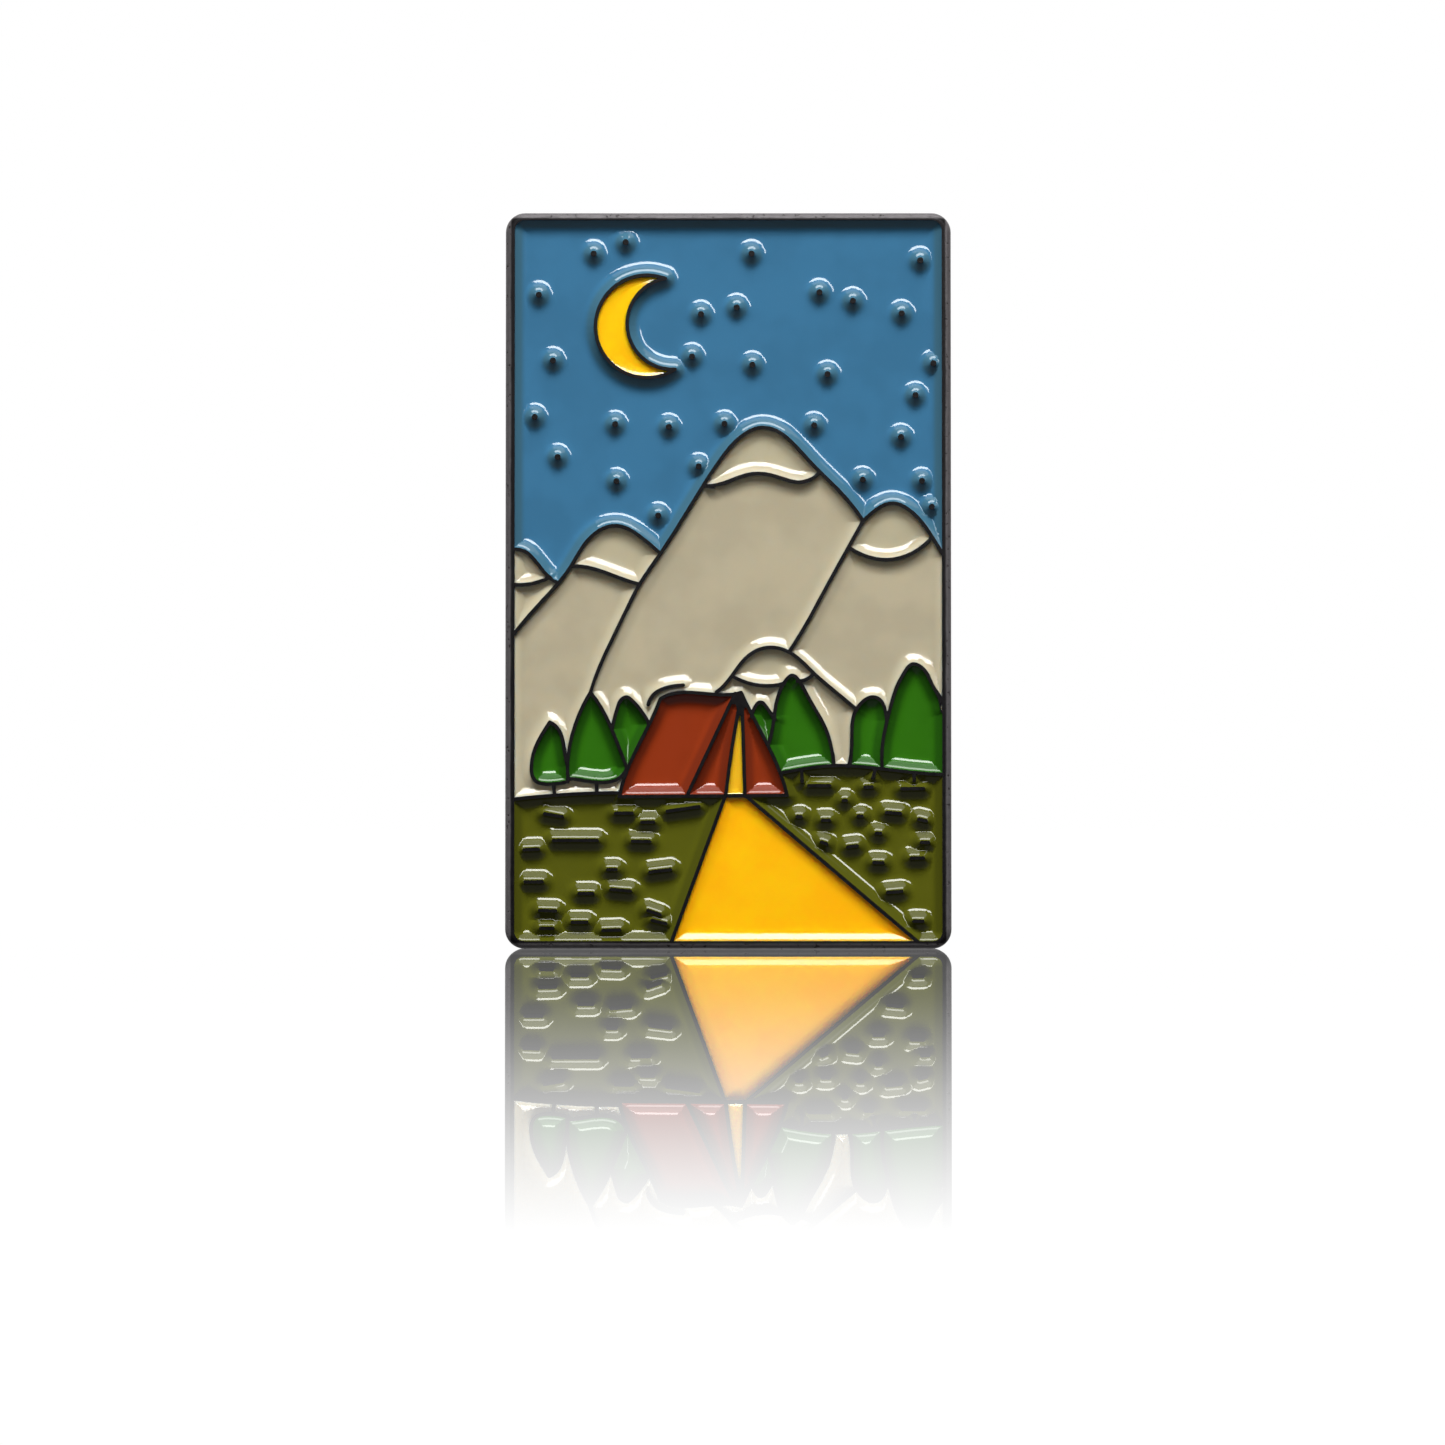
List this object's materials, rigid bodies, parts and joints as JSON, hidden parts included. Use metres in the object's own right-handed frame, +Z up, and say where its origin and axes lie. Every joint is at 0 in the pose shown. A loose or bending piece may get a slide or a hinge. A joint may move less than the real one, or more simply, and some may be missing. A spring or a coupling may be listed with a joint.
{
  "type": "enamel pin",
  "caption": "Upright rectangular soft-enamel lapel pin with a raised-line mountain camp scene, held on from behind by grooved posts and butterfly clutches.",
  "frame": {"origin": "centre of the plate's flat back face", "axes": "+Z up the picture, +X to the right as seen from the front, +Y out of the back along the posts, so the picture faces -Y"},
  "size_m": [0.023, 0.0103, 0.038],
  "materials": {
    "black_metal": "die-struck metal with a polished black nickel finish",
    "blue_enamel": "glossy soft enamel",
    "moon_enamel": "glossy soft enamel",
    "snow_enamel": "glossy soft enamel",
    "slope_enamel": "glossy soft enamel",
    "tree_enamel": "glossy soft enamel",
    "tent_enamel": "glossy soft enamel",
    "opening_enamel": "glossy soft enamel",
    "path_enamel": "glossy soft enamel",
    "grass_enamel": "glossy soft enamel",
    "post_metal": "drawn nickel-silver wire",
    "solder": "silver solder",
    "clutch_nickel": "bright nickel plate over stamped brass",
    "spring_steel": "cold-rolled spring strip"
  },
  "bodies": {
    "pin": {"base_plate": "black_metal", "grass_left_enamel": "grass_enamel", "grass_right_enamel": "grass_enamel", "ground_gap_left_enamel": "slope_enamel", "ground_gap_right_enamel": "slope_enamel", "moon_enamel": "moon_enamel", "path_enamel": "path_enamel", "sky_enamel": "blue_enamel", "slope_far_left_enamel": "slope_enamel", "slope_front_left_enamel": "slope_enamel", "slope_front_right_enamel": "slope_enamel", "slope_left_enamel": "slope_enamel", "slope_main_enamel": "slope_enamel", "slope_right_enamel": "slope_enamel", "snow_far_left_enamel": "snow_enamel", "snow_front_enamel": "snow_enamel", "snow_left_enamel": "snow_enamel", "snow_main_enamel": "snow_enamel", "snow_right_enamel": "snow_enamel", "tent_flap_left_enamel": "tent_enamel", "tent_flap_right_enamel": "tent_enamel", "tent_opening_enamel": "opening_enamel", "tent_roof_enamel": "tent_enamel", "tree_1_enamel": "tree_enamel", "tree_2_enamel": "tree_enamel", "tree_3_enamel": "tree_enamel", "tree_4_enamel": "tree_enamel", "tree_5_enamel": "tree_enamel", "tree_6_enamel": "tree_enamel", "tree_7_enamel": "tree_enamel", "upper_post": "post_metal", "lower_post": "post_metal", "upper_solder": "solder", "lower_solder": "solder"},
    "upper_clutch": {"upper_clutch_base": "clutch_nickel", "upper_clutch_cap": "clutch_nickel", "upper_clutch_spring": "spring_steel"},
    "upper_left_wing": {"upper_wing_left": "clutch_nickel"},
    "upper_right_wing": {"upper_wing_right": "clutch_nickel"},
    "lower_clutch": {"lower_clutch_base": "clutch_nickel", "lower_clutch_cap": "clutch_nickel", "lower_clutch_spring": "spring_steel"},
    "lower_left_wing": {"lower_wing_left": "clutch_nickel"},
    "lower_right_wing": {"lower_wing_right": "clutch_nickel"}
  },
  "joints": [
    {"name": "upper_clutch_slide", "type": "slide", "parent": "pin", "child": "upper_clutch", "axis": [0, 1, 0], "range_m": [0, 0.009]},
    {"name": "upper_right_wing_pinch", "type": "hinge", "parent": "upper_clutch", "child": "upper_right_wing", "pos_m": [0.0019, 0.0054, 0.01], "axis": [0, 0, 1], "range_deg": [0, 10], "stiffness_Nm_per_rad": 0.004, "springref_deg": -8.59},
    {"name": "upper_left_wing_pinch", "type": "hinge", "parent": "upper_clutch", "child": "upper_left_wing", "pos_m": [-0.0019, 0.0054, 0.01], "axis": [0, 0, -1], "range_deg": [0, 10], "stiffness_Nm_per_rad": 0.004, "springref_deg": -8.59},
    {"name": "lower_clutch_slide", "type": "slide", "parent": "pin", "child": "lower_clutch", "axis": [0, 1, 0], "range_m": [0, 0.009]},
    {"name": "lower_right_wing_pinch", "type": "hinge", "parent": "lower_clutch", "child": "lower_right_wing", "pos_m": [0.0019, 0.0054, -0.01], "axis": [0, 0, 1], "range_deg": [0, 10], "stiffness_Nm_per_rad": 0.004, "springref_deg": -8.59},
    {"name": "lower_left_wing_pinch", "type": "hinge", "parent": "lower_clutch", "child": "lower_left_wing", "pos_m": [-0.0019, 0.0054, -0.01], "axis": [0, 0, -1], "range_deg": [0, 10], "stiffness_Nm_per_rad": 0.004, "springref_deg": -8.59}
  ],
  "couplings": [
    {"joint": "upper_left_wing_pinch", "follows": "upper_right_wing_pinch", "ratio": 1},
    {"joint": "lower_left_wing_pinch", "follows": "lower_right_wing_pinch", "ratio": 1}
  ]
}
